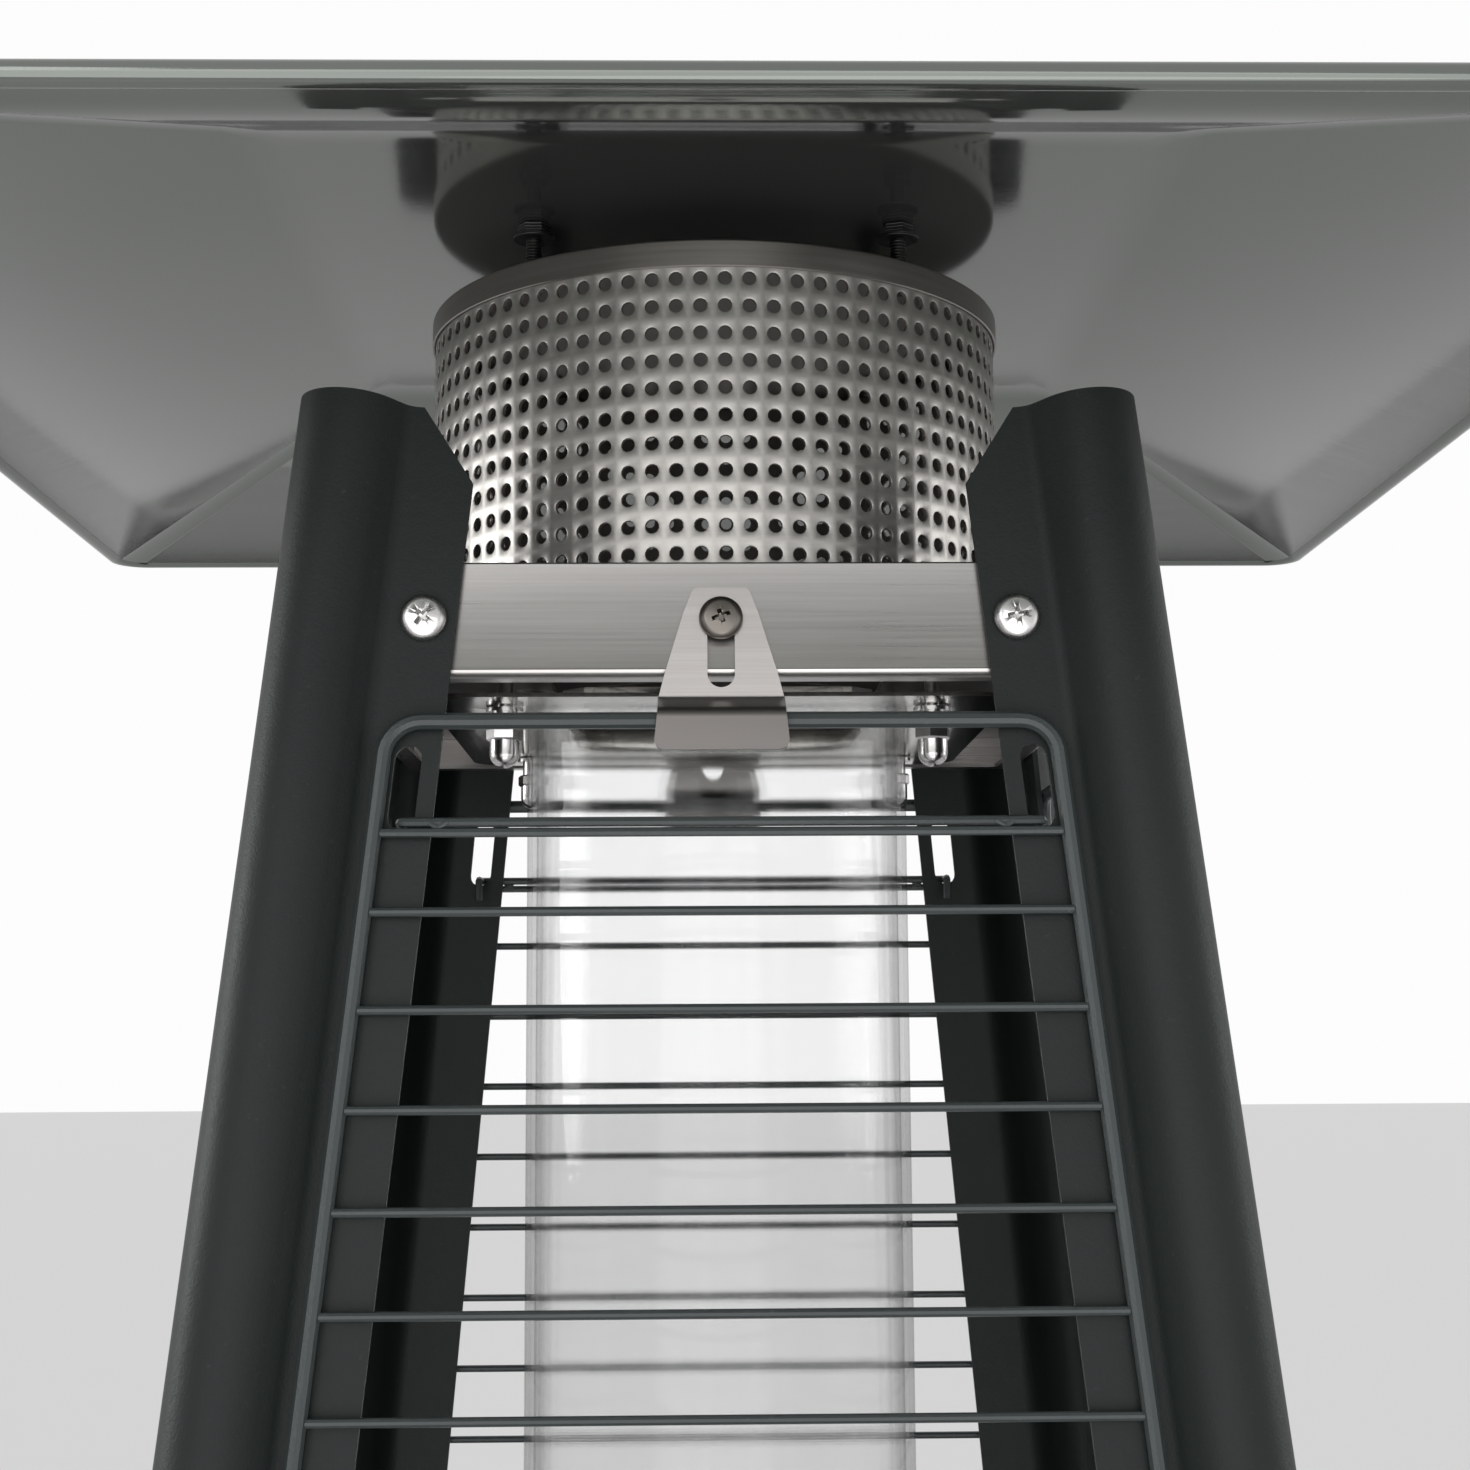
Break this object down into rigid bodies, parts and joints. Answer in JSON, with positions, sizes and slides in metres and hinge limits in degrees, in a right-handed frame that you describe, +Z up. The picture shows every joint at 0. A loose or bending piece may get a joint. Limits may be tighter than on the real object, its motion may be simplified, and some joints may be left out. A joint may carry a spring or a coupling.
{
  "type": "pyramid patio heater",
  "caption": "Four post pyramid patio heater with a glass flame tube, wire guards, a perforated outlet screen and a square reflector.",
  "frame": {"origin": "middle of the square base on the floor", "axes": "+Z up, the door and controls face -Y, +X to the right seen from the front"},
  "size_m": [0.6044, 0.6044, 2.1993],
  "materials": {
    "charcoal_coat": "dark charcoal powder coat, satin, fine texture",
    "guard_coat": "dark grey coated wire",
    "brushed_stainless": "brushed stainless sheet, level grain",
    "mirror_stainless": "bright polished sheet",
    "bright_fastener": "bright nuts",
    "zinc_fastener": "zinc plated steel",
    "dark_screw": "dark bronze screw",
    "clear_glass": "clear borosilicate",
    "black_plastic": "moulded, satin",
    "red_plastic": "moulded, gloss",
    "black_rubber": "matt",
    "valve_brass": "machined, dull",
    "burner_steel": "heat worn",
    "seal_grey": "moulded seat ring, matt"
  },
  "bodies": {
    "frame": {"base_pan": "charcoal_coat", "panel_left": "charcoal_coat", "panel_right": "charcoal_coat", "panel_rear": "charcoal_coat", "control_panel": "charcoal_coat", "burner_deck": "charcoal_coat", "door_pin_lower": "zinc_fastener", "door_pin_upper": "zinc_fastener", "igniter_barrel": "black_plastic", "gas_valve": "valve_brass", "gas_pipe": "zinc_fastener", "burner_head": "burner_steel", "pilot_bracket": "burner_steel", "glass_seat": "seal_grey", "glass_tube": "clear_glass", "neck_box": "brushed_stainless", "glass_holder": "brushed_stainless", "outlet_screen": "brushed_stainless", "screen_lid": "brushed_stainless", "reflector": "mirror_stainless", "wheel_axle": "zinc_fastener", "post_front_left": "charcoal_coat", "foot_front_left": "black_rubber", "clamp_nut_front_left": "bright_fastener", "reflector_stud_front_left": "zinc_fastener", "reflector_nut_front_left": "bright_fastener", "post_front_right": "charcoal_coat", "foot_front_right": "black_rubber", "clamp_nut_front_right": "bright_fastener", "reflector_stud_front_right": "zinc_fastener", "reflector_nut_front_right": "bright_fastener", "post_rear_right": "charcoal_coat", "foot_rear_right": "black_rubber", "clamp_nut_rear_right": "bright_fastener", "reflector_stud_rear_right": "zinc_fastener", "reflector_nut_rear_right": "bright_fastener", "post_rear_left": "charcoal_coat", "foot_rear_left": "black_rubber", "clamp_nut_rear_left": "bright_fastener", "reflector_stud_rear_left": "zinc_fastener", "reflector_nut_rear_left": "bright_fastener", "latch_screw_front": "dark_screw", "latch_screw_right": "dark_screw", "latch_screw_rear": "dark_screw", "latch_screw_left": "dark_screw"},
    "door": {"tank_door": "charcoal_coat", "door_handle": "black_plastic"},
    "stem": {"valve_stem": "zinc_fastener"},
    "knob": {"control_knob": "black_plastic"},
    "button": {"igniter_button": "red_plastic"},
    "wheel_left": {"wheel_left": "black_rubber"},
    "wheel_right": {"wheel_right": "black_rubber"},
    "guard_front": {"guard_front": "guard_coat"},
    "latch_front": {"latch_front": "brushed_stainless"},
    "guard_right": {"guard_right": "guard_coat"},
    "latch_right": {"latch_right": "brushed_stainless"},
    "guard_rear": {"guard_rear": "guard_coat"},
    "latch_rear": {"latch_rear": "brushed_stainless"},
    "guard_left": {"guard_left": "guard_coat"},
    "latch_left": {"latch_left": "brushed_stainless"}
  },
  "joints": [
    {"name": "door_hinge", "type": "hinge", "parent": "frame", "child": "door", "pos_m": [-0.21846, -0.25546, 0.34], "axis": [0.0956, 0.0956, 0.9908], "range_deg": [-105, 0]},
    {"name": "stem_push", "type": "slide", "parent": "frame", "child": "stem", "axis": [0, 0.9954, -0.0961], "range_m": [0, 0.003], "stiffness_N_per_m": 800, "springref_m": -0.003},
    {"name": "knob_turn", "type": "hinge", "parent": "stem", "child": "knob", "pos_m": [0.045, -0.22405, 0.709], "axis": [0, -0.9954, 0.0961], "range_deg": [0, 210]},
    {"name": "igniter_push", "type": "slide", "parent": "frame", "child": "button", "axis": [0, 0.9954, -0.0961], "range_m": [0, 0.005], "stiffness_N_per_m": 500, "springref_m": -0.003},
    {"name": "wheel_left_turn", "type": "hinge", "parent": "frame", "child": "wheel_left", "pos_m": [-0.17, 0.28223, 0.0225], "axis": [1, 0, 0], "continuous": true},
    {"name": "wheel_right_turn", "type": "hinge", "parent": "frame", "child": "wheel_right", "pos_m": [0.17, 0.28223, 0.0225], "axis": [1, 0, 0], "continuous": true},
    {"name": "guard_front_lift", "type": "slide", "parent": "frame", "child": "guard_front", "axis": [0, 0.0961, 0.9954], "range_m": [0, 0.013]},
    {"name": "latch_front_slide", "type": "slide", "parent": "frame", "child": "latch_front", "axis": [0, 0.0961, 0.9954], "range_m": [0, 0.013]},
    {"name": "guard_right_lift", "type": "slide", "parent": "frame", "child": "guard_right", "axis": [-0.0961, 0, 0.9954], "range_m": [0, 0.013]},
    {"name": "latch_right_slide", "type": "slide", "parent": "frame", "child": "latch_right", "axis": [-0.0961, 0, 0.9954], "range_m": [0, 0.013]},
    {"name": "guard_rear_lift", "type": "slide", "parent": "frame", "child": "guard_rear", "axis": [0, -0.0961, 0.9954], "range_m": [0, 0.013]},
    {"name": "latch_rear_slide", "type": "slide", "parent": "frame", "child": "latch_rear", "axis": [0, -0.0961, 0.9954], "range_m": [0, 0.013]},
    {"name": "guard_left_lift", "type": "slide", "parent": "frame", "child": "guard_left", "axis": [0.0961, 0, 0.9954], "range_m": [0, 0.013]},
    {"name": "latch_left_slide", "type": "slide", "parent": "frame", "child": "latch_left", "axis": [0.0961, 0, 0.9954], "range_m": [0, 0.013]}
  ],
  "couplings": [
    {"joint": "latch_front_slide", "follows": "guard_front_lift", "ratio": 1},
    {"joint": "latch_right_slide", "follows": "guard_right_lift", "ratio": 1},
    {"joint": "latch_rear_slide", "follows": "guard_rear_lift", "ratio": 1},
    {"joint": "latch_left_slide", "follows": "guard_left_lift", "ratio": 1}
  ]
}
